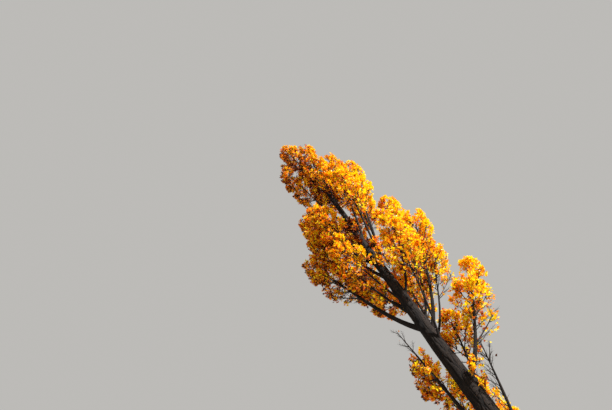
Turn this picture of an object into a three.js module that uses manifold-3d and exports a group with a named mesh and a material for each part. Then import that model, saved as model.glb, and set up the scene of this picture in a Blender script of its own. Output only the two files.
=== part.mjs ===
// A tall, narrow poplar in autumn leaf, standing alone: one straight trunk with a flared foot,
// limbs that sweep up close beside it, and a long mass of leafy twigs round the upper part of
// each limb. Each leaf here is as large as a spray of leaves on the real tree.
// Millimetres and degrees, +Z up, origin at the middle of the trunk's foot. Bearings are
// anticlockwise from +X as seen from above, and bearing 270 faces the viewer.
import * as THREE from "three";
import { mergeVertices } from "three/addons/utils/BufferGeometryUtils.js";
import Module from "manifold-3d";

const wasm = await Module();
wasm.setup();

// Driving dimensions of the trunk
const trunk = {
  baseRadius: 290, // what the taper starts from at the ground, without the flare
  taperHeight: 21000, // height at which the taper would reach nothing
  taperPower: 0.95,
  tipHeight: 19400, // the topmost mass of leaves grows on from here
  flareReach: 150,
  flareHeight: 480,
  buttresses: 5,
  buttressDepth: 0.3, // share of the flare
  sides: 16,
  rings: 15,
  ringCrowding: 1.8, // more rings low down, where the flare bends
};

// How far the trunk's middle wanders sideways on its way up
const sway = [
  { height: 0, x: 0, y: 0 },
  { height: 3500, x: 30, y: -20 },
  { height: 8000, x: -15, y: 15 },
  { height: 12500, x: 10, y: 35 },
  { height: 16000, x: 95, y: 10 },
  { height: 17900, x: -85, y: -25 },
  { height: 19400, x: -135, y: 0 },
];

// One limb in each row: its name and bearing, where it leaves the trunk, how far out and how high
// its tip is, its radius at the trunk, the share of its length that is bare, and half the width
// of its mass of leaves
const limbs = [
  ["low_right", 340, 5600, 800, 7900, 44, 0.7, 260],
  ["low_left", 178, 3400, 680, 9600, 85, 0.55, 300],
  ["low_back", 94, 3500, 1300, 8250, 55, 0.36, 660],
  ["low_front", 228, 3000, 720, 6200, 46, 0.34, 460],
  ["low_back_left", 128, 4900, 1100, 9000, 50, 0.42, 600],
  ["right_low", 5, 7400, 1800, 9950, 56, 0.26, 640],
  ["right_low_inner", 52, 7000, 1050, 9600, 46, 0.32, 560],
  ["left_fork", 170, 9100, 1800, 14200, 68, 0.44, 640],
  ["left_middle", 188, 9600, 1250, 14800, 36, 0.16, 600],
  ["right_fork", 355, 8900, 1680, 12400, 52, 0.33, 620],
  ["right_fork_outer", 12, 8700, 1500, 11450, 32, 0.38, 540],
  ["back_fork", 78, 8500, 1850, 12750, 50, 0.36, 740],
  ["back_left", 126, 10000, 1500, 13400, 40, 0.16, 700],
  ["back_right", 42, 9300, 1800, 13450, 36, 0.36, 700],
  ["front_left", 214, 10100, 900, 13700, 34, 0.3, 540],
  ["front_right", 316, 8400, 1400, 12050, 30, 0.38, 600],
  ["right_inner", 14, 10300, 1520, 14400, 36, 0.42, 620],
  ["left_upper", 180, 11200, 1120, 15850, 50, 0.42, 640],
  ["back_upper", 98, 10700, 1550, 16250, 54, 0.42, 760],
  ["back_right_upper", 54, 11700, 1460, 16800, 50, 0.5, 700],
  ["back_left_upper", 140, 11900, 1400, 17150, 48, 0.42, 700],
  ["right_upper", 357, 11900, 1300, 17050, 48, 0.5, 600],
  ["front_right_upper", 314, 11600, 1200, 15750, 44, 0.46, 580],
  ["front_left_upper", 230, 11800, 1000, 15100, 42, 0.44, 520],
  ["top_right", 6, 13100, 960, 18700, 44, 0.36, 620],
  ["top_left", 178, 14000, 860, 20200, 40, 0.22, 640],
  ["top_back", 88, 13800, 1000, 20250, 40, 0.36, 680],
  ["top_front", 300, 14700, 660, 19450, 32, 0.26, 620],
].map(([name, bearing, from, reach, top, radius, bare, girth]) => {
  return { name, bearing, from, reach, top, radius, bare, girth };
});

// Leafy shoots that grow straight from the trunk's bark
const tuftBare = 0.16;
const tufts = [
  { name: "tuft_right", bearing: 326, from: 6400, reach: 430, top: 7700, radius: 16, girth: 210 },
  { name: "tuft_middle", bearing: 326, from: 10700, reach: 480, top: 12500, radius: 18, girth: 340 },
];

// The mass that carries the trunk on to the top of the tree
const crownTop = { name: "top", bearing: 180, x: -260, y: 20, stemTop: 21660, girth: 600 };

// How a limb bends between the trunk and its tip, as shares of its reach and of its rise
const bend = { outLow: 0.32, riseLow: 0.13, outHigh: 0.6, riseHigh: 0.52 };
const limbTip = { radius: 18, power: 0.85, collar: 0.45, collarLength: 260 };
const boughFacets = { sides: 6, steps: 5 };
const stemFacets = { sides: 4, steps: 3 };

// The seeded rule by which twigs and leaves branch from a mass's stem
const growth = {
  twigSpacing: 480,
  leastTwigs: 5,
  firstTwig: 0.06,
  lastTwig: 0.97,
  turn: 137.5,
  turnJitter: 40,
  outwardBias: 14, // turns twigs towards the light, away from the trunk
  leanLow: 52,
  leanHigh: 28,
  twigReach: 0.5, // share of the mass's girth that a twig crosses
  twigRadius: 20,
  leafShares: [0.38, 0.66, 0.92], // where a twig carries its leaves
  leafLean: 46,
  tipLean: 10,
  leafLength: 1.25, // share of the mass's girth
  endLeafLength: 0.66, // the leaf on the very end of the stem
  leafWidth: 0.78, // share of the leaf's length
  leafThickness: 0.028,
  leafBroadest: 0.42,
  leafSink: 4, // past the middle of the twig
  rollJitter: 40,
  sizeRange: [0.82, 1.12],
  seed: 100,
  balls: 10, // the mass's space is a row of balls along its stem
  spaceShare: 1.08, // how far past its balls a mass may reach
  neighbourMargin: -0.25, // how far it may reach into a neighbour's half of the room between them
  clearance: 3,
};

// What a twig or leaf tries in turn until it fits, before it is skipped: turned so far, so large
const secondTries = [
  { turn: 0, size: 1 },
  { turn: 38, size: 0.92 },
  { turn: -38, size: 0.92 },
  { turn: 90, size: 0.8 },
  { turn: -90, size: 0.8 },
  { turn: 180, size: 0.7 },
  { turn: 60, size: 0.6 },
  { turn: -60, size: 0.6 },
];

// How full a mass is along its stem: slim at the foot, broadest below the middle, round on top
const fullest = { foot: 0.35, skew: 0.75, roundness: 0.7, end: 0.9 };

const contactGap = 0.3;
const upward = new THREE.Vector3(0, 0, 1);
const radians = THREE.MathUtils.degToRad;
const lerp = THREE.MathUtils.lerp;

const seeded = (seed) => () => {
  seed = (Math.imul(seed, 1664525) + 1013904223) >>> 0;
  return seed / 4294967296;
};

// Solids: a three.js geometry becomes a closed manifold, and the other way round
function solidOf(geometry) {
  const bare = geometry.clone();
  bare.deleteAttribute("normal");
  bare.deleteAttribute("uv");
  const merged = mergeVertices(bare, 1e-3);
  return new wasm.Manifold(
    new wasm.Mesh({
      numProp: 3,
      vertProperties: merged.attributes.position.array,
      triVerts: new Uint32Array(merged.index.array),
    }),
  );
}

function geometryOf(solid) {
  const mesh = solid.getMesh();
  const geometry = new THREE.BufferGeometry();
  geometry.setAttribute("position", new THREE.BufferAttribute(new Float32Array(mesh.vertProperties), 3));
  geometry.setIndex(new THREE.BufferAttribute(new Uint32Array(mesh.triVerts), 1));
  geometry.computeVertexNormals();
  return geometry;
}

// The largest body: scraps that a cut or a skipped twig left loose are dropped
const largestBody = (solid) => solid.decompose().sort((a, b) => b.volume() - a.volume())[0];

// Trunk
function axisAt(height) {
  let k = 0;
  while (k < sway.length - 2 && height > sway[k + 1].height) k++;
  const [low, high] = [sway[k], sway[k + 1]];
  const share = THREE.MathUtils.smoothstep(height, low.height, high.height);
  return new THREE.Vector3(lerp(low.x, high.x, share), lerp(low.y, high.y, share), height);
}

function trunkRadius(height, angle) {
  const taper = trunk.baseRadius * (1 - height / trunk.taperHeight) ** trunk.taperPower;
  const ridges = 1 + trunk.buttressDepth * Math.cos(trunk.buttresses * angle);
  return taper + trunk.flareReach * ridges * Math.exp(-height / trunk.flareHeight);
}

function trunkSolid(grown) {
  const geometry = new THREE.CylinderGeometry(1, 1, 1, trunk.sides, trunk.rings);
  const place = geometry.attributes.position;
  for (let i = 0; i < place.count; i++) {
    const across = new THREE.Vector2(place.getX(i), -place.getZ(i));
    const height = trunk.tipHeight * (place.getY(i) + 0.5) ** trunk.ringCrowding;
    const radius = across.length() * (trunkRadius(height, across.angle()) + grown);
    const middle = axisAt(height);
    const angle = across.angle();
    place.setXYZ(i, middle.x + radius * Math.cos(angle), middle.y + radius * Math.sin(angle), height);
  }
  return solidOf(geometry);
}

// Limbs
function outwards(bearing) {
  return new THREE.Vector3(Math.cos(radians(bearing)), Math.sin(radians(bearing)), 0);
}

function limbCurve({ bearing, from, reach, top }) {
  const start = axisAt(from);
  const out = outwards(bearing);
  const at = (share, rise) =>
    start.clone().addScaledVector(out, reach * share).addScaledVector(upward, (top - from) * rise);
  const low = at(bend.outLow, bend.riseLow);
  const high = at(bend.outHigh, bend.riseHigh);
  return new THREE.CubicBezierCurve3(start, low, high, at(1, 1));
}

// A limb's radius at a share of its length, with a collar where it leaves the trunk
function limbRadius(limb, share, length) {
  const taper = limbTip.radius + (limb.radius - limbTip.radius) * (1 - share) ** limbTip.power;
  return taper * (1 + limbTip.collar * Math.exp((-share * length) / limbTip.collarLength));
}

// A tapered solid along a curve, between two shares of its length
function stretchSolid(curve, first, last, radiusAt, { sides, steps }) {
  const geometry = new THREE.CylinderGeometry(1, 1, 1, sides, steps);
  const place = geometry.attributes.position;
  const chord = curve.getPointAt(last).sub(curve.getPointAt(first));
  const level = new THREE.Vector3().crossVectors(upward, chord);
  if (level.length() < 1e-6) level.set(1, 0, 0);
  for (let i = 0; i < place.count; i++) {
    const share = lerp(first, last, place.getY(i) + 0.5);
    const along = curve.getTangentAt(share);
    const normal = new THREE.Vector3().crossVectors(level, along).normalize();
    const binormal = new THREE.Vector3().crossVectors(along, normal);
    const spot = curve
      .getPointAt(share)
      .addScaledVector(normal, place.getX(i) * radiusAt(share))
      .addScaledVector(binormal, -place.getZ(i) * radiusAt(share));
    place.setXYZ(i, spot.x, spot.y, spot.z);
  }
  return solidOf(geometry);
}

// Masses: what a stem, its twigs and its leaves are made from
function massOf(limb, curve, first, seed) {
  const length = curve.getLength();
  const balls = Array.from({ length: growth.balls }, (_, k) => {
    const up = k / (growth.balls - 1);
    return { middle: curve.getPointAt(lerp(first, 1, up)), radius: limb.girth * fullness(up) };
  });
  return { limb, curve, first, length, balls, outward: outwards(limb.bearing), random: seeded(seed) };
}

function fullness(share) {
  const swell = Math.sin(Math.PI * (share * fullest.end) ** fullest.skew) ** fullest.roundness;
  return lerp(fullest.foot, 1, swell);
}

// 0 in the middle of a mass's space and 1 at its edge
const depthIn = (mass, point) => Math.min(...mass.balls.map((b) => b.middle.distanceTo(point) / b.radius));

function keepsToSpace(mass, masses, point) {
  const own = depthIn(mass, point);
  const clear = (other) => other === mass || depthIn(other, point) > own + growth.neighbourMargin;
  return own < growth.spaceShare && masses.every(clear);
}

function twigSolid(start, direction, length, grown) {
  const geometry = new THREE.ConeGeometry(growth.twigRadius + grown, length, 3);
  geometry.translate(0, length / 2, 0);
  geometry.applyQuaternion(new THREE.Quaternion().setFromUnitVectors(new THREE.Vector3(0, 1, 0), direction));
  geometry.translate(start.x, start.y, start.z);
  return solidOf(geometry);
}

// A leaf is a kite with a ridge on both faces, its foot sunk into what carries it. Its blade
// lies along its carrier, rolled a little about its own length
function leafSolid(foot, direction, carrierDirection, roll, length, grown) {
  const geometry = new THREE.OctahedronGeometry(1);
  const place = geometry.attributes.position;
  const width = (length * growth.leafWidth) / 2 + grown;
  const thickness = (length * growth.leafThickness) / 2 + grown;
  for (let i = 0; i < place.count; i++) {
    const along = Math.abs(place.getY(i)) < 0.5 ? growth.leafBroadest : (place.getY(i) + 1) / 2;
    place.setXYZ(i, place.getX(i) * width, along * length - growth.leafSink, place.getZ(i) * thickness);
  }
  const normal = direction.clone().cross(carrierDirection).normalize();
  normal.applyAxisAngle(direction, radians(roll));
  const across = direction.clone().cross(normal);
  geometry.applyMatrix4(new THREE.Matrix4().makeBasis(across, direction, normal));
  geometry.translate(foot.x, foot.y, foot.z);
  return solidOf(geometry);
}

// A direction that leans away from another one: towards a given side, turned round by turn
function leaning(direction, towards, turn, lean) {
  const side = towards.clone().projectOnPlane(direction).normalize();
  side.applyAxisAngle(direction, radians(turn));
  const along = direction.clone().multiplyScalar(Math.cos(radians(lean)));
  return along.addScaledVector(side, Math.sin(radians(lean)));
}

const touches = (solid, others) => others.some((other) => !solid.intersect(other).isEmpty());

// The first of the tries that keeps to the mass's space and touches nothing but what carries it
function firstThatFits(mass, masses, obstacles, grow) {
  for (const change of secondTries) {
    const { tip, build } = grow(change);
    if (keepsToSpace(mass, masses, tip) && !touches(build(growth.clearance), obstacles)) {
      return { solid: build(0), tip };
    }
  }
  return null;
}

function massSolid(mass, masses, obstacles, stem) {
  const { limb, curve, first, length, outward, random } = mass;
  const pieces = [stem];
  const tipShare = growth.leafShares.at(-1);
  const count = Math.max(growth.leastTwigs, Math.round((length * (1 - first)) / growth.twigSpacing));

  const addLeaf = (carrier, spot, direction, lean, lengthShare) => {
    const side = random() * 360;
    const roll = (random() - 0.5) * growth.rollJitter;
    const leafLength = limb.girth * lengthShare * lerp(...growth.sizeRange, random());
    const others = pieces.filter((piece) => piece !== carrier);
    const leaf = firstThatFits(mass, masses, [...obstacles, ...others], ({ turn, size }) => {
      const towards = leaning(direction, outward, side + turn, lean);
      const tip = spot.clone().addScaledVector(towards, leafLength * size);
      return { tip, build: (grown) => leafSolid(spot, towards, direction, roll, leafLength * size, grown) };
    });
    if (leaf) pieces.push(leaf.solid);
  };

  for (let k = 0; k < count; k++) {
    const up = lerp(growth.firstTwig, growth.lastTwig, (k + 0.5) / count);
    const start = curve.getPointAt(lerp(first, 1, up));
    const along = curve.getTangentAt(lerp(first, 1, up));
    const round = k * growth.turn + (random() - 0.5) * growth.turnJitter;
    const side = round - growth.outwardBias * Math.sin(radians(round));
    const lean = lerp(growth.leanLow, growth.leanHigh, up);
    const reach = limb.girth * fullness(up) * growth.twigReach * lerp(...growth.sizeRange, random());
    const twigLength = reach / Math.sin(radians(lean));
    const others = pieces.filter((piece) => piece !== stem);
    const twig = firstThatFits(mass, masses, [...obstacles, ...others], ({ turn, size }) => {
      const direction = leaning(along, outward, side + turn, lean);
      const tip = start.clone().addScaledVector(direction, twigLength * size);
      return { tip, build: (grown) => twigSolid(start, direction, twigLength * size, grown) };
    });
    if (!twig) continue;
    pieces.push(twig.solid);
    const direction = twig.tip.clone().sub(start).normalize();
    for (const share of growth.leafShares) {
      const spot = start.clone().lerp(twig.tip, share);
      const lean = share < tipShare ? growth.leafLean : growth.tipLean;
      addLeaf(twig.solid, spot, direction, lean, growth.leafLength);
    }
  }
  addLeaf(stem, curve.getPointAt(1), curve.getTangentAt(1), growth.tipLean, growth.endLeafLength);
  return largestBody(wasm.Manifold.union(pieces));
}

// Materials
const material = (color, roughness) => new THREE.MeshStandardMaterial({ color, roughness, metalness: 0 });
const bark = material(0x4a3f37, 0.9);
// Leaves from lemon on the sunny side, +X, through gold, amber and orange to russet on the other
const leafTints = [0xf2c21c, 0xe8a414, 0xcf7f12, 0xb9600f, 0x7d3f12].map((color) => material(color, 0.6));
function tintFor(bearing) {
  const shade = (1 - Math.cos(radians(bearing))) / 2;
  return leafTints[Math.min(leafTints.length - 1, Math.floor(shade * leafTints.length))];
}

const tree = new THREE.Group();
function addMesh(name, solid, look) {
  const mesh = new THREE.Mesh(geometryOf(solid), look);
  mesh.name = name;
  tree.add(mesh);
}

// Build: the trunk first, then the limbs cut clear of it, then the masses, each clear of all before
const trunkCore = trunkSolid(0);
const trunkCollar = trunkSolid(contactGap);
addMesh("trunk", trunkCore, bark);

const woody = [trunkCore];
const grownMasses = [];
limbs.forEach((limb, k) => {
  const curve = limbCurve(limb);
  const length = curve.getLength();
  const radiusAt = (share) => limbRadius(limb, share, length);
  const bough = largestBody(stretchSolid(curve, 0, limb.bare, radiusAt, boughFacets).subtract(trunkCollar));
  addMesh("bough_" + limb.name, bough, bark);
  woody.push(bough);
  const first = limb.bare + contactGap / length;
  const stem = stretchSolid(curve, first, 1, radiusAt, stemFacets);
  grownMasses.push({ ...massOf(limb, curve, first, growth.seed + k), stem });
});
tufts.forEach((tuft, k) => {
  const curve = limbCurve(tuft);
  const length = curve.getLength();
  const radiusAt = (share) => limbRadius(tuft, share, length);
  const stem = largestBody(stretchSolid(curve, 0, 1, radiusAt, stemFacets).subtract(trunkCollar));
  grownMasses.push({ ...massOf(tuft, curve, tuftBare, growth.seed + limbs.length + k), stem });
});

const topStart = axisAt(trunk.tipHeight).addScaledVector(upward, contactGap);
const topCurve = new THREE.QuadraticBezierCurve3(
  topStart,
  topStart.clone().addScaledVector(upward, (crownTop.stemTop - trunk.tipHeight) / 2),
  new THREE.Vector3(crownTop.x, crownTop.y, crownTop.stemTop),
);
const topRadius = (share) => lerp(trunkRadius(trunk.tipHeight, 0), limbTip.radius, share);
const topStem = stretchSolid(topCurve, 0, 1, topRadius, stemFacets);
const topSeed = growth.seed + limbs.length + tufts.length;
grownMasses.push({ ...massOf(crownTop, topCurve, 0, topSeed), stem: topStem });

const stems = grownMasses.map((mass) => mass.stem);
const finished = [];
grownMasses.forEach((mass, k) => {
  const obstacles = [...woody, ...finished, ...stems.filter((_, j) => j > k)];
  const solid = massSolid(mass, grownMasses, obstacles, mass.stem);
  finished.push(solid);
  addMesh("leaves_" + mass.limb.name, solid, tintFor(mass.limb.bearing));
});

export default tree;
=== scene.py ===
import math

import bmesh
import bpy
import numpy as np
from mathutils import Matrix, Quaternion, Vector, noise


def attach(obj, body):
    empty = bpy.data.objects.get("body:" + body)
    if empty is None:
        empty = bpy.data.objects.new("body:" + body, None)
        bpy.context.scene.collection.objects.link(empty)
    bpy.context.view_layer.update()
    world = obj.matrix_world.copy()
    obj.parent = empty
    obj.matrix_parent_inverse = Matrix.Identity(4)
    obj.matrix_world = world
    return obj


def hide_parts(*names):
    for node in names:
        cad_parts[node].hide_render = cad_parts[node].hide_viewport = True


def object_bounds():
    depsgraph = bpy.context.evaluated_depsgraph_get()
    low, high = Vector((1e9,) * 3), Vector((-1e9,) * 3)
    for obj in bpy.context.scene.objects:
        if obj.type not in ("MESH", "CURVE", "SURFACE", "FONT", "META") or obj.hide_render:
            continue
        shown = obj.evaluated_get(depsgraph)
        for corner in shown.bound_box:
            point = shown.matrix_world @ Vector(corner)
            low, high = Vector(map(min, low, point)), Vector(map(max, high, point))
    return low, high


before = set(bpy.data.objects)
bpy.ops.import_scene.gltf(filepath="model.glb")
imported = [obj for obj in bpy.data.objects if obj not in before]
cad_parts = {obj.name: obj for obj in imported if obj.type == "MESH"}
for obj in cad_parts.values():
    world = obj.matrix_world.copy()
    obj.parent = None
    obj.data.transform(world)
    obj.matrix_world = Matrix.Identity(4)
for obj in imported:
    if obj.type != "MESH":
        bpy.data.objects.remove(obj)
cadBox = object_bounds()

print("frame loaded,", len(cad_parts), "solids")


# Small helpers
def linear(hexColour):  # an sRGB hex colour as the linear one that shaders take
    shares = [int(hexColour[k:k + 2], 16) / 255 for k in (0, 2, 4)]
    return (*[c / 12.92 if c <= 0.04045 else ((c + 0.055) / 1.055) ** 2.4 for c in shares], 1)


def addNode(tree, kind, settings=None, links=None):  # a socket is given by its name or its number
    node = tree.nodes.new(kind)
    for name, value in (settings or {}).items():
        if isinstance(name, int) or name in node.inputs:
            node.inputs[name].default_value = value
        else:
            setattr(node, name, value)
    for name, source in (links or {}).items():
        tree.links.new(source, node.inputs[name])
    return node


mixShare, mixFirst, mixSecond = 0, 6, 7  # the sockets of a Mix node that mixes two colours


def newMaterial(name):
    look = bpy.data.materials.new(name)
    look.use_nodes = True
    look.node_tree.nodes.clear()
    return look, look.node_tree


def addPiece(name, mesh, look):
    piece = bpy.data.objects.new(name, mesh)
    bpy.context.scene.collection.objects.link(piece)
    mesh.materials.append(look)
    return piece


# Camera: near the foot and steeply up, tilted to one side
camera = {
    "eye": (0, -9.5, 1.6),
    "lens": 28,  # mm, on a sensor 36 mm wide
    "elevation": 58.0,
    "pan": 5.0,  # to the left of the trunk
    "roll": -32.8,
}


def makeCamera():
    data = bpy.data.cameras.new("camera")
    data.lens = camera["lens"]
    up, pan = math.radians(camera["elevation"]), math.radians(camera["pan"])
    level = math.cos(up)
    towards = Vector((-math.sin(pan) * level, math.cos(pan) * level, math.sin(up)))
    viewer = bpy.data.objects.new("camera", data)
    viewer.location = camera["eye"]
    viewer.rotation_mode = "QUATERNION"
    tilt = Quaternion((0, 0, 1), math.radians(camera["roll"]))
    viewer.rotation_quaternion = towards.to_track_quat("-Z", "Y") @ tilt
    bpy.context.scene.collection.objects.link(viewer)
    bpy.context.scene.camera = viewer


# Studio: a low soft key from the tree's sunny side, an even pale surround and a pale floor
studio = {
    "keyBearing": -15,
    "keyElevation": 30,
    "keyStrength": 10.2,
    "keySoftness": 3,  # degrees that the light seems wide
    "surround": "e6e4e0",
    "surroundStrength": 0.64,
    "floor": "9f9e9a",
    "floorRadius": 120,
    "floorSides": 96,
}


def sunward():
    bearing, up = math.radians(studio["keyBearing"]), math.radians(studio["keyElevation"])
    return Vector((math.cos(bearing) * math.cos(up), math.sin(bearing) * math.cos(up), math.sin(up)))


def makeStudio():
    key = bpy.data.lights.new("key", "SUN")
    key.energy = studio["keyStrength"]
    key.angle = math.radians(studio["keySoftness"])
    lamp = bpy.data.objects.new("key", key)
    lamp.rotation_mode = "QUATERNION"
    lamp.rotation_quaternion = (-sunward()).to_track_quat("-Z", "Y")
    bpy.context.scene.collection.objects.link(lamp)

    world = bpy.data.worlds.new("surround")
    world.use_nodes = True
    world.node_tree.nodes.clear()
    colour = {"Color": linear(studio["surround"]), "Strength": studio["surroundStrength"]}
    shine = addNode(world.node_tree, "ShaderNodeBackground", colour)
    addNode(world.node_tree, "ShaderNodeOutputWorld", links={"Surface": shine.outputs[0]})
    bpy.context.scene.world = world

    shape = bmesh.new()
    sides, radius = studio["floorSides"], studio["floorRadius"]
    bmesh.ops.create_circle(shape, cap_ends=True, segments=sides, radius=radius)
    mesh = bpy.data.meshes.new("floor")
    shape.to_mesh(mesh)
    shape.free()
    look, tree = newMaterial("pale_matte_floor")
    paint = {"Base Color": linear(studio["floor"]), "Roughness": 0.9}
    shader = addNode(tree, "ShaderNodeBsdfPrincipled", paint)
    addNode(tree, "ShaderNodeOutputMaterial", links={"Surface": shader.outputs[0]})
    addPiece("floor", mesh, look)
    bpy.context.scene.view_settings.view_transform = "Standard"


makeCamera()
makeStudio()
print("camera and studio ready")


# The trunk's line and thickness, by the rule that its solid follows
trunk = {
    "baseRadius": 0.29,
    "taperHeight": 21.0,
    "taperPower": 0.95,
    "stemStart": 19.4,  # from here on it is the stem of the topmost mass
    "stemTop": 21.66,
    "stemLean": (-0.125, 0.02),
    "stemPoints": 61,
    "tipRadius": 0.006,
    "flareReach": 0.15,
    "flareHeight": 0.48,
    "buttresses": 5,
    "buttressDepth": 0.3,
    "columns": 112,
    "rows": 760,
    "rowCrowding": 1.3,  # more rows low down
}

# How far the trunk's middle wanders: height, x and y
sway = np.array([
    (0, 0, 0),
    (3.5, 0.03, -0.02),
    (8, -0.015, 0.015),
    (12.5, 0.01, 0.035),
    (16, 0.095, 0.01),
    (17.9, -0.085, -0.025),
    (19.4, -0.135, 0),
])


def axisAt(height):
    if height > trunk["stemStart"]:
        share = (height - trunk["stemStart"]) / (trunk["stemTop"] - trunk["stemStart"])
        return sway[-1, 1:] + np.array(trunk["stemLean"]) * share**2
    k = min(int(np.searchsorted(sway[:, 0], height, "right")) - 1, len(sway) - 2)
    share = (height - sway[k, 0]) / (sway[k + 1, 0] - sway[k, 0])
    share = share * share * (3 - 2 * share)
    return sway[k, 1:] + (sway[k + 1, 1:] - sway[k, 1:]) * share


def trunkRadius(height, angle):
    gone = min(height, trunk["stemStart"]) / trunk["taperHeight"]
    core = trunk["baseRadius"] * (1 - gone) ** trunk["taperPower"]
    share = max(0, (height - trunk["stemStart"]) / (trunk["stemTop"] - trunk["stemStart"]))
    core += (trunk["tipRadius"] - core) * share
    ridges = 1 + trunk["buttressDepth"] * math.cos(trunk["buttresses"] * angle)
    return core + trunk["flareReach"] * ridges * math.exp(-height / trunk["flareHeight"])


# One limb in each row: its name and bearing, where it leaves the trunk, how far out and how high
# its tip is, its radius at the trunk, the share of its length below its mass, and the mass's girth
limbRows = [
    ("low_right", 340, 5.6, 0.8, 7.9, 0.044, 0.7, 0.26),
    ("low_left", 178, 3.4, 0.68, 9.6, 0.085, 0.55, 0.3),
    ("low_back", 94, 3.5, 1.3, 8.25, 0.055, 0.36, 0.66),
    ("low_front", 228, 3.0, 0.72, 6.2, 0.046, 0.34, 0.46),
    ("low_back_left", 128, 4.9, 1.1, 9.0, 0.05, 0.42, 0.6),
    ("right_low", 5, 7.4, 1.8, 9.95, 0.056, 0.26, 0.64),
    ("right_low_inner", 52, 7.0, 1.05, 9.6, 0.046, 0.32, 0.56),
    ("left_fork", 170, 9.1, 1.8, 14.2, 0.068, 0.44, 0.64),
    ("left_middle", 188, 9.6, 1.25, 14.8, 0.036, 0.16, 0.6),
    ("right_fork", 355, 8.9, 1.68, 12.4, 0.052, 0.33, 0.62),
    ("right_fork_outer", 12, 8.7, 1.5, 11.45, 0.032, 0.38, 0.54),
    ("back_fork", 78, 8.5, 1.85, 12.75, 0.05, 0.36, 0.74),
    ("back_left", 126, 10.0, 1.5, 13.4, 0.04, 0.16, 0.7),
    ("back_right", 42, 9.3, 1.8, 13.45, 0.036, 0.36, 0.7),
    ("front_left", 214, 10.1, 0.9, 13.7, 0.034, 0.3, 0.54),
    ("front_right", 316, 8.4, 1.4, 12.05, 0.03, 0.38, 0.6),
    ("right_inner", 14, 10.3, 1.52, 14.4, 0.036, 0.42, 0.62),
    ("left_upper", 180, 11.2, 1.12, 15.85, 0.05, 0.42, 0.64),
    ("back_upper", 98, 10.7, 1.55, 16.25, 0.054, 0.42, 0.76),
    ("back_right_upper", 54, 11.7, 1.46, 16.8, 0.05, 0.5, 0.7),
    ("back_left_upper", 140, 11.9, 1.4, 17.15, 0.048, 0.42, 0.7),
    ("right_upper", 357, 11.9, 1.3, 17.05, 0.048, 0.5, 0.6),
    ("front_right_upper", 314, 11.6, 1.2, 15.75, 0.044, 0.46, 0.58),
    ("front_left_upper", 230, 11.8, 1.0, 15.1, 0.042, 0.44, 0.52),
    ("top_right", 6, 13.1, 0.96, 18.7, 0.044, 0.36, 0.62),
    ("top_left", 178, 14.0, 0.86, 20.2, 0.04, 0.22, 0.64),
    ("top_back", 88, 13.8, 1.0, 20.25, 0.04, 0.36, 0.68),
    ("top_front", 300, 14.7, 0.66, 19.45, 0.032, 0.26, 0.62),
]
tuftRows = [  # leafy shoots straight from the trunk's bark, in the same columns
    ("tuft_right", 326, 6.4, 0.43, 7.7, 0.016, 0.16, 0.21),
    ("tuft_middle", 326, 10.7, 0.48, 12.5, 0.018, 0.16, 0.34),
]
limbColumns = ("name", "bearing", "from", "reach", "top", "radius", "bare", "girth")
limbs = [dict(zip(limbColumns, row)) for row in limbRows]
tufts = [dict(zip(limbColumns, row)) for row in tuftRows]

# How a limb bends, as shares of its reach and of its rise, and how finely its line is worked out
bend = {"outLow": 0.32, "riseLow": 0.13, "outHigh": 0.6, "riseHigh": 0.52, "points": 201}


def outwards(bearing):
    return np.array((math.cos(math.radians(bearing)), math.sin(math.radians(bearing)), 0))


def limbLine(limb):  # points along a limb, from the middle of the trunk to its tip
    out = outwards(limb["bearing"]) * limb["reach"]
    rise = np.array((0, 0, limb["top"] - limb["from"]))
    start = np.array((*axisAt(limb["from"]), limb["from"]))
    low = start + out * bend["outLow"] + rise * bend["riseLow"]
    high = start + out * bend["outHigh"] + rise * bend["riseHigh"]
    tip = start + out + rise
    t = np.linspace(0, 1, bend["points"])[:, None]
    return (1 - t) ** 3 * start + 3 * t * (1 - t) ** 2 * low + 3 * t * t * (1 - t) * high + t**3 * tip


def lengthOf(line):
    return np.linalg.norm(np.diff(line, axis=0), axis=1).sum()


def unit(vectors):
    return vectors / np.maximum(np.linalg.norm(vectors, axis=-1, keepdims=True), 1e-9)


nearby = 0.004  # the share of a line between a place and the two that give its direction


def pointsAt(line, shares):  # places and directions at shares of a line's length
    steps = np.linalg.norm(np.diff(line, axis=0), axis=1)
    gone = np.concatenate([[0], np.cumsum(steps)]) / steps.sum()
    spots = [np.stack([np.interp(np.clip(s, 0, 1), gone, line[:, i]) for i in range(3)], axis=-1)
             for s in (shares - nearby, shares, shares + nearby)]
    return spots[1], unit(spots[2] - spots[0])


# Bark: a grid of faces rolled round a row of rings, with furrows that part and meet again
relief = {
    "trunkSpacing": 0.085,  # between furrows
    "limbSpacing": 0.04,
    "stretch": 5.5,  # how much longer than wide the ridges are
    "furrowWidth": 0.15,
    "ripple": 0.35,  # strength of the small bends in a furrow
    "rippleScale": 2.3,
    "depth": 0.075,  # share of the trunk's or limb's radius
    "deepest": 0.02,
    "lumps": 0.04,  # slow swellings, also a share of the radius
    "lumpScale": 2.4,
    "shift": 3.7,  # moves the pattern by a limb's place, so that no two limbs are alike
    "limbColumns": 14,
    "limbRow": 0.05,  # length of a face along a limb
    "weld": 1e-5,  # corners nearer than this become one
}


def furrowAt(spot, spacing):  # 1 in the middle of a furrow and 0 on a ridge
    near = Vector((spot.x / spacing, spot.y / spacing, spot.z / (spacing * relief["stretch"])))
    crossing = noise.noise(near) + relief["ripple"] * noise.noise(near * relief["rippleScale"])
    return math.exp(-((crossing / relief["furrowWidth"]) ** 2))


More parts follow.
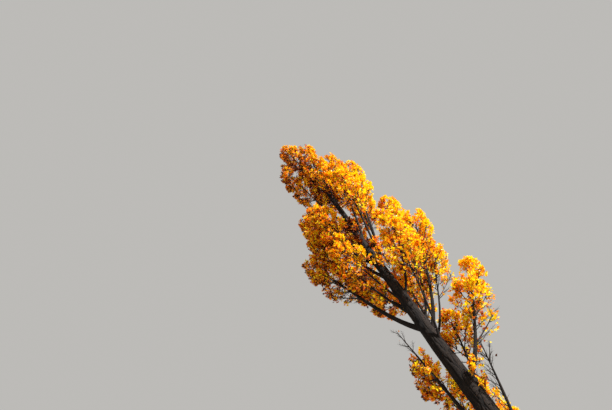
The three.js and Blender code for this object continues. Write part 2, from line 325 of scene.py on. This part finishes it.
def barkPiece(name, rings, radiusAt, columns, spacing, look):
    # rings: for each row of the grid its middle, its two directions across and the length so far
    shape = bmesh.new()
    rows = len(rings) - 1
    bmesh.ops.create_grid(shape, x_segments=columns, y_segments=rows, size=0.5)
    furrows = shape.verts.layers.float.new("furrow")
    shift = rings[0][0] * relief["shift"]
    for vertex in shape.verts:
        angle = (vertex.co.x + 0.5) * math.tau
        row = round((vertex.co.y + 0.5) * rows)
        middle, across, beside, gone = rings[row]
        radius = radiusAt(row, angle)
        spot = Vector((math.cos(angle) * radius, math.sin(angle) * radius, gone)) + shift
        vertex[furrows] = furrowAt(spot, spacing)
        swelling = noise.noise(spot * relief["lumpScale"]) * relief["lumps"] * radius
        sunk = vertex[furrows] * min(relief["depth"] * radius, relief["deepest"])
        wide = radius + swelling - sunk
        vertex.co = middle + across * (math.cos(angle) * wide) + beside * (math.sin(angle) * wide)
    bmesh.ops.remove_doubles(shape, verts=shape.verts, dist=relief["weld"])
    for face in shape.faces:
        face.smooth = True
    bmesh.ops.holes_fill(shape, edges=[e for e in shape.edges if e.is_boundary], sides=0)
    bmesh.ops.recalc_face_normals(shape, faces=shape.faces)
    mesh = bpy.data.meshes.new(name)
    shape.to_mesh(mesh)
    shape.free()
    return addPiece(name, mesh, look)


def trunkPiece(look):
    shares = [k / trunk["rows"] for k in range(trunk["rows"] + 1)]
    heights = [trunk["stemTop"] * share ** trunk["rowCrowding"] for share in shares]
    rings = [(Vector((*axisAt(h), h)), Vector((1, 0, 0)), Vector((0, 1, 0)), h) for h in heights]

    def radiusAt(row, angle):
        return trunkRadius(heights[row], angle)

    return barkPiece("trunk_bark", rings, radiusAt, trunk["columns"], relief["trunkSpacing"], look)


# How a limb tapers, and the collar that it leaves the trunk with
taper = {"tip": 0.005, "power": 0.85, "collar": 0.45, "collarLength": 0.26}


def limbRadius(limb, share, length):
    core = taper["tip"] + (limb["radius"] - taper["tip"]) * (1 - share) ** taper["power"]
    return core * (1 + taper["collar"] * math.exp(-share * length / taper["collarLength"]))


def limbPiece(limb, look):
    line = limbLine(limb)
    length = lengthOf(line)
    rows = round(length / relief["limbRow"])
    shares = np.linspace(0, 1, rows + 1)
    middles, directions = pointsAt(line, shares)
    beside = unit(np.cross((0, 0, 1), line[-1] - line[0]))
    across = np.cross(beside, directions)
    rings = [(Vector(middles[k]), Vector(across[k]), Vector(beside), shares[k] * length)
             for k in range(rows + 1)]

    def radiusAt(row, angle):  # a limb is round, whatever the angle
        return limbRadius(limb, shares[row], length)

    columns = relief["limbColumns"]
    return barkPiece("limb_" + limb["name"], rings, radiusAt, columns, relief["limbSpacing"], look)


# Old bark: colours, and the widths and depths of its patterns
oldFinish = {
    "ridges": ("1f1814", "392e26"),
    "ridgeStops": (0.36, 0.66),
    "flakeWidth": 0.014,
    "flakeSquash": 0.25,  # flakes are four times as long as wide
    "flakeDepth": 0.004,
    "damp": "9c8f84",
    "dampSpacing": 0.4,
    "cracks": "1a1512",
    "crackStops": (0.44, 0.56),
    "crackSpacing": 0.025,
    "crackSquash": 0.14,  # cracks are seven times as long as they are apart
    "crackDepth": 0.006,
    # painted shade: the colour that the furrows are darkened to
    "furrows": "120e0c",
}


def furrowedBark():
    # Poplar bark, grown and weathered: grey-brown ridges, with painted shade that makes it nearly
    # black down in the furrows
    look, tree = newMaterial("furrowed_poplar_bark")
    place = addNode(tree, "ShaderNodeTexCoord").outputs["Object"]
    # Flakes on the ridges
    squash = {"Scale": (1, 1, oldFinish["flakeSquash"])}
    flakePlace = addNode(tree, "ShaderNodeMapping", squash, {"Vector": place}).outputs[0]
    grain = {"Scale": 1 / oldFinish["flakeWidth"], "Detail": 3, "Roughness": 0.6}
    flakes = addNode(tree, "ShaderNodeTexNoise", grain, {"Vector": flakePlace}).outputs["Fac"]
    ridge = addNode(tree, "ShaderNodeValToRGB", links={"Fac": flakes})
    stops = zip(ridge.color_ramp.elements, oldFinish["ridgeStops"], oldFinish["ridges"])
    for element, position, colour in stops:
        element.position = position
        element.color = linear(colour)
    # Weathered and damp stretches
    spots = {"Scale": 1 / oldFinish["dampSpacing"], "Detail": 2}
    patches = addNode(tree, "ShaderNodeTexNoise", spots, {"Vector": flakePlace}).outputs["Fac"]
    tint = {"data_type": "RGBA", "blend_type": "MULTIPLY", mixSecond: linear(oldFinish["damp"])}
    damp = addNode(tree, "ShaderNodeMix", tint, {mixShare: patches, mixFirst: ridge.outputs[0]})
    # Fine cracks along the ridges
    squash = {"Scale": (1, 1, oldFinish["crackSquash"])}
    crackPlace = addNode(tree, "ShaderNodeMapping", squash, {"Vector": place}).outputs[0]
    splits = {"Scale": 1 / oldFinish["crackSpacing"], "Detail": 2, "Roughness": 0.5}
    lines = addNode(tree, "ShaderNodeTexNoise", splits, {"Vector": crackPlace}).outputs["Fac"]
    crack = addNode(tree, "ShaderNodeValToRGB", links={"Fac": lines})
    for element, position in zip(crack.color_ramp.elements, oldFinish["crackStops"]):
        element.position = position
        element.color = linear("000000")
    crack.color_ramp.elements.new(sum(oldFinish["crackStops"]) / 2).color = linear("ffffff")
    paint = {"data_type": "RGBA", mixSecond: linear(oldFinish["cracks"])}
    ways = {mixShare: crack.outputs[0], mixFirst: damp.outputs[2]}
    cracked = addNode(tree, "ShaderNodeMix", paint, ways)
    # Painted shade down in the furrows of the relief itself
    depth = addNode(tree, "ShaderNodeAttribute", {"attribute_name": "furrow"}).outputs["Fac"]
    paint = {"data_type": "RGBA", mixSecond: linear(oldFinish["furrows"])}
    paintedFurrowShade = addNode(tree, "ShaderNodeMix", paint, {mixShare: depth, mixFirst: cracked.outputs[2]})
    sunk = {"Strength": 0.9, "Distance": oldFinish["crackDepth"], "invert": True}
    split = addNode(tree, "ShaderNodeBump", sunk, {"Height": crack.outputs[0]})
    rough = {"Strength": 0.6, "Distance": oldFinish["flakeDepth"]}
    bump = addNode(tree, "ShaderNodeBump", rough, {"Height": flakes, "Normal": split.outputs[0]})
    matte = {"Roughness": 0.9, "IOR": 1.45, "Specular IOR Level": 0.2}
    ways = {"Base Color": paintedFurrowShade.outputs[2], "Normal": bump.outputs[0]}
    shader = addNode(tree, "ShaderNodeBsdfPrincipled", matte, ways)
    addNode(tree, "ShaderNodeOutputMaterial", links={"Surface": shader.outputs[0]})
    return look


# Young bark: its streaks are drawn wider than the real ones, so that they show at all
youngFinish = {
    "streaks": ("1b130e", "382a20"),
    "streakStops": (0.35, 0.7),
    "streakWidth": 0.02,
    "streakSquash": 0.2,  # streaks are five times as long as wide
}


def youngBark():
    # Two-year-old poplar shoots: smooth brown bark with paler streaks along it
    look, tree = newMaterial("young_poplar_bark")
    place = addNode(tree, "ShaderNodeTexCoord").outputs["Object"]
    squash = {"Scale": (1, 1, youngFinish["streakSquash"])}
    streaks = addNode(tree, "ShaderNodeMapping", squash, {"Vector": place}).outputs[0]
    grain = {"Scale": 1 / youngFinish["streakWidth"]}
    grained = addNode(tree, "ShaderNodeTexNoise", grain, {"Vector": streaks}).outputs["Fac"]
    tone = addNode(tree, "ShaderNodeValToRGB", links={"Fac": grained})
    stops = zip(tone.color_ramp.elements, youngFinish["streakStops"], youngFinish["streaks"])
    for element, position, colour in stops:
        element.position = position
        element.color = linear(colour)
    smooth = {"Roughness": 0.7, "IOR": 1.45, "Specular IOR Level": 0.35}
    shader = addNode(tree, "ShaderNodeBsdfPrincipled", smooth, {"Base Color": tone.outputs[0]})
    addNode(tree, "ShaderNodeOutputMaterial", links={"Surface": shader.outputs[0]})
    return look


# Every piece with its finish and the solids that it stands for
bark = furrowedBark()
pieces = [(trunkPiece(bark), "bark", ["trunk"])]
for limb in limbs:
    pieces.append((limbPiece(limb, bark), "bark", ["bough_" + limb["name"]]))
print("trunk and", len(limbs), "limbs modelled")


# Masses: the space of each is a row of balls along its stem, slim at the foot and round on top
topStem = {"name": "top", "bearing": 180, "bare": 0, "radius": 0.025, "girth": 0.6}
balls = 10
fullest = {"foot": 0.35, "skew": 0.75, "roundness": 0.7, "end": 0.9}


def fullness(share):
    swell = np.sin(math.pi * (share * fullest["end"]) ** fullest["skew"]) ** fullest["roundness"]
    return fullest["foot"] + (1 - fullest["foot"]) * swell


def massOf(limb, line):
    up = np.linspace(0, 1, balls)
    middles, _ = pointsAt(line, limb["bare"] + (1 - limb["bare"]) * up)
    space = {"middles": middles, "radii": limb["girth"] * fullness(up)}
    return {**limb, **space, "line": line, "length": lengthOf(line)}


def topMass():
    heights = np.linspace(trunk["stemStart"], trunk["stemTop"], trunk["stemPoints"])
    return massOf(topStem, np.array([(*axisAt(h), h) for h in heights]))


masses = [massOf(limb, limbLine(limb)) for limb in limbs + tufts] + [topMass()]
massNames = np.array([mass["name"] for mass in masses])
massGirth = np.array([mass["girth"] for mass in masses])
# Where each mass's light comes from, tilted a little so that it never lies along a shoot
massLight = np.array([outwards(mass["bearing"]) for mass in masses]) + (0, 0, 0.01)


def depthsOf(points):  # 0 in the middle of each mass's space and 1 at its edge
    found = []
    for mass in masses:
        away = np.linalg.norm(points[:, None] - mass["middles"][None], axis=2)
        found.append((away / mass["radii"]).min(axis=1))
    return np.array(found)


def ownDepth(points, owner):  # the same in the points' own masses
    return depthsOf(points)[owner, np.arange(len(points))]


def fromStem(points, owner):
    # how far a point is from its mass's stem, as shares of the girth, and how far up the stem
    nearest = np.zeros_like(points)
    up = np.zeros(len(points))
    for k, mass in enumerate(masses):
        own = owner == k
        away = np.linalg.norm(points[own][:, None] - mass["middles"][None], axis=2)
        nearest[own] = mass["middles"][away.argmin(axis=1)]
        up[own] = away.argmin(axis=1) / (balls - 1)
    return (points - nearest) / massGirth[owner][:, None], up


# How every shoot grows
growth = {
    "seed": 100,
    "turn": 137.5,
    "turnJitter": 40,
    "outwardBias": 14,  # turns shoots towards the light, away from the trunk
    "neighbourMargin": -0.25,  # how far a mass may reach into its neighbour's half of the room
    "beyond": 0.06,  # how far leaves may reach beyond the solids' box
    "tries": (1, 0.85, 0.7, 0.55, 0.4),  # a shoot that leaves its mass is cut back
    "leastSize": 0.3,  # a shoot cut back further than this gets no thinner
    "narrowing": 0.8,  # share of its thickness that a shoot loses by its tip
}
random = np.random.default_rng(growth["seed"])


def keepsToSpace(points, owner, edge):  # an edge of infinity lets a shoot grow anywhere
    depths = depthsOf(points)
    each = np.arange(len(points))
    own = depths[owner, each].copy()
    depths[owner, each] = np.inf
    inMass = (own < edge) & (depths.min(axis=0) > own + growth["neighbourMargin"])
    low, high = np.array(cadBox)
    inReach = ((points > low - growth["beyond"]) & (points < high + growth["beyond"])).all(axis=1)
    return inReach & (inMass | (edge == np.inf))


def leaning(along, towards, turn, lean):  # leans away from along, to a side turned round it
    side = unit(towards - along * (towards * along).sum(axis=1, keepdims=True))
    turn, lean = np.radians(turn)[:, None], np.radians(lean)[:, None]
    side = side * np.cos(turn) + np.cross(along, side) * np.sin(turn)
    return along * np.cos(lean) + side * np.sin(lean)


# Shoots are arrays of gentle curves: foot, elbow, tip, radius at the foot, the mass they grow in
# and how near they may come to the edge of its space
def growShoots(foot, along, turn, lean, length, radius, owner, rise, edge):
    start = leaning(along, massLight[owner], turn, lean)
    end = unit(start + np.array((0, 0, rise)))
    size = np.zeros(len(foot))
    edge = np.full(len(foot), edge)
    for share in growth["tries"]:
        tip = foot + (start + end) * (length * share / 2)[:, None]
        fits = (size == 0) & keepsToSpace(tip, owner, edge)
        size[fits] = share
    kept = size > 0
    foot, start, end, owner, edge = foot[kept], start[kept], end[kept], owner[kept], edge[kept]
    half = (length * size / 2)[kept, None]
    elbow = foot + start * half
    thick = (radius * np.sqrt(np.maximum(size, growth["leastSize"])))[kept]
    tip = elbow + end * half
    return {"foot": foot, "elbow": elbow, "tip": tip, "radius": thick, "owner": owner, "edge": edge}


def pointsOn(shoots, which, share):  # places and directions at shares of some shoots
    share = share[:, None]
    foot, elbow, tip = shoots["foot"][which], shoots["elbow"][which], shoots["tip"][which]
    spot = foot * (1 - share) ** 2 + elbow * 2 * share * (1 - share) + tip * share**2
    return spot, unit((elbow - foot) * (1 - share) + (tip - elbow) * share)


def joined(*parts):
    return {key: np.concatenate([part[key] for part in parts]) for key in parts[0]}


def jitter(count, reach):
    return (random.random(count) - 0.5) * reach


def turnsFor(k):
    turn = k * growth["turn"] + jitter(len(k), growth["turnJitter"])
    return turn - growth["outwardBias"] * np.sin(np.radians(turn))


def spreadOut(kind, count):  # numbers and places for shoots along a stem
    k = np.arange(count)
    return k, kind["first"] + (kind["last"] - kind["first"]) * (k + 0.5) / count


def countsOn(carriers, kind):  # how many shoots or leaves each of their carriers takes
    lengths = np.linalg.norm(carriers["tip"] - carriers["foot"], axis=1)
    return np.maximum(kind["fewest"], np.round(lengths / kind["spacing"])).astype(int)


def dealtOut(counts):  # the carrier of each shoot or leaf, and its number there
    return np.repeat(np.arange(len(counts)), counts), np.concatenate([np.arange(n) for n in counts])


# Forks: they carry a stem on through its mass
forks = {
    "spacing": 0.3,
    "fewest": 2,
    "first": 0.0,
    "last": 0.85,
    "lean": 26,
    "leanJitter": 10,
    "length": 0.75,  # share of the stem inside the mass
    "lengthJitter": 0.3,
    "shortening": 0.55,  # from the lowest fork to the highest
    "radius": 0.032,
    "stemShare": 0.5,  # the share of the stem's thickness that they never pass
    "thinning": 0.4,
    "rise": 0.12,
    "edge": 0.9,
    "sides": 5,
    "steps": 8,
}


def growForks():
    parts = []
    for owner, mass in enumerate(masses):
        room = mass["length"] * (1 - mass["bare"])
        count = max(forks["fewest"], round(room / forks["spacing"]))
        k, up = spreadOut(forks, count)
        foot, along = pointsAt(mass["line"], mass["bare"] + (1 - mass["bare"]) * up)
        length = room * forks["length"] * (1 - forks["shortening"] * up)
        length *= 1 + jitter(count, forks["lengthJitter"])
        radius = np.minimum(forks["radius"], mass["radius"] * forks["stemShare"])
        radius = radius * (1 - forks["thinning"] * up)
        owners = np.full(count, owner)
        lean = forks["lean"] + jitter(count, forks["leanJitter"])
        parts.append(growShoots(foot, along, turnsFor(k), lean, length, radius, owners,
                                forks["rise"], forks["edge"]))
    return joined(*parts)


# Branches: on the stems, as long as the mass is wide there, and on the forks
branches = {
    "spacing": 0.17,
    "first": 0.0,
    "last": 0.98,
    "leanLow": 52,
    "leanHigh": 28,
    "reach": 0.85,
    "lengthJitter": 0.4,
    "radius": 0.012,
    "rise": 0.35,
    "edge": 0.86,
    "sides": 4,
    "steps": 3,
}
onForks = {
    "spacing": 0.17,
    "fewest": 2,
    "start": 0.9,  # steps from a fork's foot to its first branch
    "lean": 40,
    "leanJitter": 20,
    "reach": 0.66,
    "shortening": 0.3,
    "radius": 0.9,  # share of the other branches' thickness
}


def growStemBranches():
    parts = []
    for owner, mass in enumerate(masses):
        room = mass["length"] * (1 - mass["bare"])
        count = round(room / branches["spacing"])
        k, up = spreadOut(branches, count)
        foot, along = pointsAt(mass["line"], mass["bare"] + (1 - mass["bare"]) * up)
        lean = branches["leanLow"] + (branches["leanHigh"] - branches["leanLow"]) * up
        reach = mass["girth"] * fullness(up) * branches["reach"]
        reach *= 1 + jitter(count, branches["lengthJitter"])
        length = reach / np.sin(np.radians(lean))
        radius = np.full(count, branches["radius"])
        owners = np.full(count, owner)
        parts.append(growShoots(foot, along, turnsFor(k), lean, length, radius, owners,
                                branches["rise"], branches["edge"]))
    return joined(*parts)


def growForkBranches(forked):
    counts = countsOn(forked, onForks)
    which, k = dealtOut(counts)
    share = (k + onForks["start"]) / counts[which]
    foot, along = pointsOn(forked, which, np.minimum(share, 1))
    lean = onForks["lean"] + jitter(len(k), onForks["leanJitter"])
    owners = forked["owner"][which]
    length = massGirth[owners] * onForks["reach"]
    length *= 1 + jitter(len(k), branches["lengthJitter"])
    length *= 1 - onForks["shortening"] * share
    radius = np.full(len(k), branches["radius"] * onForks["radius"])
    return growShoots(foot, along, turnsFor(k), lean, length, radius, owners,
                      branches["rise"], branches["edge"])


# Short leafy branches straight from the trunk's bark, where it runs up through the masses
trunkSprays = {
    "stretches": [(12.5, 14.1), (15.9, 19.3)],
    "spacing": 0.11,
    "lean": 48,
    "leanJitter": 20,
    "length": 0.36,
    "lengthJitter": 0.4,
    "radius": 0.007,
    "rise": 0.3,
}


def growTrunkSprays():
    step = trunkSprays["spacing"]
    heights = np.concatenate([np.arange(*stretch, step) for stretch in trunkSprays["stretches"]])
    count = len(heights)
    foot = np.array([(*axisAt(h), h) for h in heights])
    along = np.tile((0.0, 0.0, 1.0), (count, 1))
    owners = depthsOf(foot).argmin(axis=0)
    lean = trunkSprays["lean"] + jitter(count, trunkSprays["leanJitter"])
    length = trunkSprays["length"] * (1 + jitter(count, trunkSprays["lengthJitter"]))
    radius = np.full(count, trunkSprays["radius"])
    return growShoots(foot, along, turnsFor(np.arange(count)), lean, length, radius, owners,
                      trunkSprays["rise"], np.inf)


# Twigs: along the outer part of every fork and branch, and one on to the end of each
twigs = {
    "spacing": 0.0195,
    "fewest": 3,
    "first": 0.34,
    "firstOnForks": 0.66,
    "last": 1.0,
    "lean": 50,
    "tipLean": 8,
    "leanJitter": 24,
    "length": 0.12,
    "lengthJitter": 0.5,
    "shortening": 0.35,  # from the lowest twig on a branch to the last
    "radius": 0.003,
    "rise": 0.3,
    "edge": 0.93,
    "sides": 3,
    "steps": 1,
}


def growTwigs(forked, branched):
    carriers = joined(forked, branched)
    counts = countsOn(carriers, twigs)
    which, k = dealtOut(counts)
    first = np.where(which < len(forked["foot"]), twigs["firstOnForks"], twigs["first"])
    share = first + (twigs["last"] - first) * (k + 1) / counts[which]
    foot, along = pointsOn(carriers, which, share)
    atTip = k + 1 == counts[which]
    lean = np.where(atTip, twigs["tipLean"], twigs["lean"]) + jitter(len(k), twigs["leanJitter"])
    length = twigs["length"] * (1 - twigs["shortening"] * share)
    length *= 1 + jitter(len(k), twigs["lengthJitter"])
    radius = np.full(len(k), twigs["radius"])
    edge = np.where(carriers["edge"] == np.inf, np.inf, twigs["edge"])[which]
    return growShoots(foot, along, turnsFor(k + which), lean, length, radius,
                      carriers["owner"][which], twigs["rise"], edge)


# Leafless shoots along the bare part of the low right limb, with finer ones on them
bareShoots = {
    "limb": "low_right",
    "count": 12,
    "first": 0.3,
    "last": 0.84,
    "turn": 170,
    "turnJitter": 130,
    "lean": 34,
    "leanJitter": 16,
    "length": 0.5,
    "lengthJitter": 0.5,
    "radius": 0.009,
    "rise": 0.25,
    "finer": 5,
    "finerLength": 0.6,
    "finerShortening": 0.3,
    "finerRadius": 0.6,
}


def growBareShoots():
    owner = list(massNames).index(bareShoots["limb"])
    count = bareShoots["count"]
    k, up = spreadOut(bareShoots, count)
    foot, along = pointsAt(masses[owner]["line"], up)
    length = bareShoots["length"] * (1 + jitter(count, bareShoots["lengthJitter"]))
    lean = bareShoots["lean"] + jitter(count, bareShoots["leanJitter"])
    radius = np.full(count, bareShoots["radius"])
    owners = np.full(count, owner)
    turn = bareShoots["turn"] + jitter(count, bareShoots["turnJitter"])
    shoots = growShoots(foot, along, turn, lean, length, radius, owners, bareShoots["rise"], np.inf)

    which, step = dealtOut(np.full(count, bareShoots["finer"]))
    share = (step + 1) / (bareShoots["finer"] + 1)
    foot, along = pointsOn(shoots, which, share)
    length = length[which] * (bareShoots["finerLength"] - bareShoots["finerShortening"] * share)
    radius = radius[which] * bareShoots["finerRadius"]
    finer = growShoots(foot, along, turnsFor(step + which), lean[which], length, radius,
                       owners[which], bareShoots["rise"], np.inf)
    return joined(shoots, finer)


forked = growForks()
branched = joined(growStemBranches(), growForkBranches(forked), growTrunkSprays())
twiggy = growTwigs(forked, branched)
branched = joined(branched, growBareShoots())
print(len(forked["foot"]), "forks,", len(branched["foot"]), "branches,", len(twiggy["foot"]), "twigs")


def meshFrom(name, points, corners):  # a mesh of triangles from arrays
    mesh = bpy.data.meshes.new(name)
    mesh.vertices.add(len(points))
    mesh.vertices.foreach_set("co", points.astype(np.float32).ravel())
    mesh.loops.add(corners.size)
    mesh.loops.foreach_set("vertex_index", corners.astype(np.int32).ravel())
    mesh.polygons.add(len(corners))
    mesh.polygons.foreach_set("loop_start", np.arange(0, corners.size, 3, dtype=np.int32))
    mesh.update(calc_edges=True)
    return mesh


anySide = np.array((0.3, 0.9, 0.31))  # where rings start: a direction that no shoot follows


def tubesFrom(shoots, sides, steps):
    # closed tapering tubes: rings of corners along each shoot, then a point at its tip
    count = len(shoots["foot"])
    each = np.arange(count)
    rings = []
    _, along = pointsOn(shoots, each, np.zeros(count))
    across = unit(np.cross(along, anySide))
    for step in range(steps):
        share = step / steps
        spot, along = pointsOn(shoots, each, np.full(count, share))
        across = unit(across - along * (across * along).sum(axis=1, keepdims=True))
        beside = np.cross(along, across)
        radius = (shoots["radius"] * (1 - growth["narrowing"] * share))[:, None]
        for side in range(sides):
            angle = math.tau * side / sides
            rings.append(spot + (across * math.cos(angle) + beside * math.sin(angle)) * radius)
    points = np.stack([*rings, shoots["tip"]], axis=1)
    corners = []
    for step in range(steps - 1):
        for side in range(sides):
            here = step * sides + side
            aside = step * sides + (side + 1) % sides
            corners += [(here, aside, aside + sides), (here, aside + sides, here + sides)]
    last = (steps - 1) * sides
    for side in range(sides):
        corners.append((last + side, last + (side + 1) % sides, steps * sides))
    for side in range(1, sides - 1):
        corners.append((0, side + 1, side))
    corners = np.array(corners)[None] + (each * points.shape[1])[:, None, None]
    return points.reshape(-1, 3), corners.reshape(-1, 3)


youngWood = youngBark()
allLeaves = ["leaves_" + name for name in massNames]
woods = [("forks", forked, forks), ("branches", branched, branches), ("twigs", twiggy, twigs)]
for name, shoots, kind in woods:
    points, corners = tubesFrom(shoots, kind["sides"], kind["steps"])
    pieces.append((addPiece(name, meshFrom(name, points, corners), youngWood), "bark", allLeaves))
    print(name, len(corners), "triangles")


# Leaves: a broad kite with a drawn-out tip, folded a little along its midrib
leaf = {
    "length": 0.076,
    "sizeRange": (0.75, 1.15),
    "width": 0.9,  # share of the length
    "shoulder": (0.3, 0.5),  # how far along and how wide, at the broadest
    "waist": (0.64, 0.21),
    "fold": 22,
    "sink": 0.001,  # into its twig
    "spacing": 0.0135,  # along a twig
    "fewest": 3,
    "first": 0.12,  # the share of a twig below its leaves
    "lean": 62,
    "leanJitter": 40,
    "easing": 0.5,  # how much less a twig's last leaf leans
    "twigTurn": 57,
    "turnJitter": 60,
    "droop": 0.35,
    "edge": 0.97,
    "spray": 2,  # leaves beside each other on a twig that share a tint
    "shineThrough": 0.4,  # the share of light that comes through from behind
}
# Twigs that keep few of their leaves or none: deep inside a mass, under its stem and at its foot
thinning = {
    "shade": 0.84,  # twigs less deep than this, times a chance, are inside
    "shadeLeast": 0.6,  # that chance starts here
    "shadeSpread": 0.8,  # and spreads this far
    "shadeKeeps": 0.32,
    "under": 0.4,  # share of the girth below the stem, times a chance between 0 and 1
    "foot": 0.8,  # share of the stem that is thin at its foot, again by chance
    "underKeeps": 0.1,
    "closingFrom": 12,  # m up, where the feet begin to fill with leaves
    "closingOver": 5,
    "leafyFeet": ("left_middle", "back_left"),  # full of leaves from their very foot
    "bareAbove": {"low_right": 0, "low_left": 8.7},  # m up, where these are nearly leafless
    "bareKeeps": 0.05,  # the share of twigs there that keep one leaf
}


def leafCounts(carriers):
    counts = countsOn(carriers, leaf)
    tips, owners = carriers["tip"], carriers["owner"]
    chance = thinning["shadeLeast"] + thinning["shadeSpread"] * random.random(len(counts))
    inside = ownDepth(tips, owners) < thinning["shade"] * chance
    counts[inside] = np.round(counts[inside] * thinning["shadeKeeps"])
    away, up = fromStem(tips, owners)
    under = -away[:, 2] > thinning["under"] * (1 - random.random(len(counts)))
    closed = np.clip((tips[:, 2] - thinning["closingFrom"]) / thinning["closingOver"], 0, 1)
    under |= up < thinning["foot"] * (1 - closed) * random.random(len(counts))
    names = massNames[owners]
    under &= ~np.isin(names, thinning["leafyFeet"])
    counts[under] = np.round(counts[under] * thinning["underKeeps"])
    nearlyBare = np.zeros(len(counts), dtype=bool)
    for name, height in thinning["bareAbove"].items():
        nearlyBare |= (names == name) & (tips[:, 2] > height)
    counts[nearlyBare] = random.random(nearlyBare.sum()) < thinning["bareKeeps"]
    return counts


def growLeaves(carriers):
    counts = leafCounts(carriers)
    which, k = dealtOut(counts)
    owners = carriers["owner"][which]
    share = leaf["first"] + (1 - leaf["first"]) * (k + 1) / counts[which]
    foot, along = pointsOn(carriers, which, np.minimum(share, 1))
    lean = leaf["lean"] * (1 - leaf["easing"] * share) + jitter(len(k), leaf["leanJitter"])
    turn = k * growth["turn"] + which * leaf["twigTurn"] + jitter(len(k), leaf["turnJitter"])
    direction = leaning(along, massLight[owners], turn, lean)
    direction = unit(direction - (0, 0, 1) * (random.random((len(k), 1)) * leaf["droop"]))
    small, large = leaf["sizeRange"]
    length = leaf["length"] * (small + (large - small) * random.random(len(k)))
    edge = np.where(carriers["edge"] == np.inf, np.inf, leaf["edge"])[which]
    kept = keepsToSpace(foot + direction * length[:, None], owners, edge)
    return foot[kept], direction[kept], length[kept], which[kept]


def leafMesh(name, foot, direction, length):
    count = len(foot)
    aside = unit(np.cross(direction, unit(random.normal(size=(count, 3)))))
    normal = np.cross(aside, direction)
    fold = math.radians(leaf["fold"])
    length = length[:, None]
    outline = [foot - direction * leaf["sink"]]
    for along, wide in (leaf["shoulder"], leaf["waist"]):
        for side in (1, -1):
            spread = wide * leaf["width"] * length
            lifted = aside * (side * math.cos(fold)) + normal * math.sin(fold)
            outline.append(foot + direction * (along * length) + lifted * spread)
    outline.append(foot + direction * length)
    points = np.stack(outline, axis=1)
    # Its corners: 0 the foot, 1 and 2 the shoulders, 3 and 4 the waist, 5 the tip
    corners = np.array([(0, 1, 3), (0, 3, 5), (0, 4, 2), (0, 5, 4)])
    corners = corners[None] + (np.arange(count) * len(outline))[:, None, None]
    mesh = meshFrom(name, points.reshape(-1, 3), corners.reshape(-1, 3))
    mesh.shade_flat()
    return mesh


def autumnLeaf(name, colour):
    # A thin waxy autumn leaf: plain colour, a soft gloss, and light that shines through it
    look, tree = newMaterial(name)
    waxy = {"Base Color": linear(colour), "Roughness": 0.4, "IOR": 1.45, "Specular IOR Level": 0.3}
    front = addNode(tree, "ShaderNodeBsdfPrincipled", waxy)
    through = addNode(tree, "ShaderNodeBsdfTranslucent", {"Color": linear(colour)})
    shine = {"Fac": leaf["shineThrough"]}
    both = addNode(tree, "ShaderNodeMixShader", shine, {1: front.outputs[0], 2: through.outputs[0]})
    addNode(tree, "ShaderNodeOutputMaterial", links={"Surface": both.outputs[0]})
    return look


# Tints, from the sunny side and the outside of the crown inwards, so that the darker ones are painted
# shade as well as the leaves' own autumn colours
tints = [
    ("lemon", "ffe40c"),
    ("gold", "ffc008"),
    ("amber", "ff9a04"),
    ("orange", "e06c06"),
    ("russet", "5a2912"),
]
# What orders the sprays' tints: painted light and shade by their side of the mass and of the crown,
# their place outside and the top, and chance
dealing = {
    "side": 0.75,
    "crown": 0.3,
    "crownReach": 2,
    "outside": 0.8,
    "top": -0.5,  # painted shade: the top of the crown is more orange
    "topFrom": 16,
    "topOver": 3,
    "branch": 0.2,  # a value of its own for each small cube of the crown
    "branchSize": 0.3,
    "twig": 0.6,
    "spray": 2.2,
}
scatter = {"along": (12.9898, 78.233, 37.719), "size": 43758.5453}  # uneven numbers for the cubes


def paintedLightAndChanceOf(carriers):  # painted light and shade: how sunny each twig's place is, plus chance
    middle = (carriers["foot"] + carriers["tip"]) / 2
    depths = ownDepth(middle, carriers["owner"])
    side = fromStem(middle, carriers["owner"])[0] @ np.array(sunward())
    depths[carriers["edge"] == np.inf] = 0  # painted shade: close by the trunk, so given the shaded tints
    side[carriers["edge"] == np.inf] = -1
    crown = middle[:, 0] / dealing["crownReach"]
    top = np.clip((middle[:, 2] - dealing["topFrom"]) / dealing["topOver"], 0, 1)
    cells = np.floor(middle / dealing["branchSize"]).astype(int)
    patch = (np.sin(cells @ np.array(scatter["along"])) * scatter["size"]) % 1
    return (dealing["side"] * side + dealing["crown"] * crown + dealing["outside"] * depths
            + dealing["top"] * top + dealing["branch"] * patch
            + dealing["twig"] * random.random(len(middle)))


foot, direction, length, carrier = growLeaves(twiggy)
spray = np.arange(len(foot)) // leaf["spray"]
paintedLightAndChance = paintedLightAndChanceOf(twiggy)[carrier] + dealing["spray"] * random.random(len(foot))[spray]
# Painted light and shade: the sunniest sprays take the palest tints, the most shaded the darkest
order = np.argsort(-paintedLightAndChance, kind="stable")
for (tint, colour), part in zip(tints, np.array_split(order, len(tints))):
    name = "leaves_" + tint
    mesh = leafMesh(name, foot[part], direction[part], length[part])
    piece = addPiece(name, mesh, autumnLeaf("autumn_leaf_" + tint, colour))
    pieces.append((piece, "leaf_" + tint, allLeaves))
    print(name, len(part), "leaves,", len(mesh.polygons), "triangles")


for piece, finish, nodes in pieces:
    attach(piece, "root")
    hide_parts(*nodes)
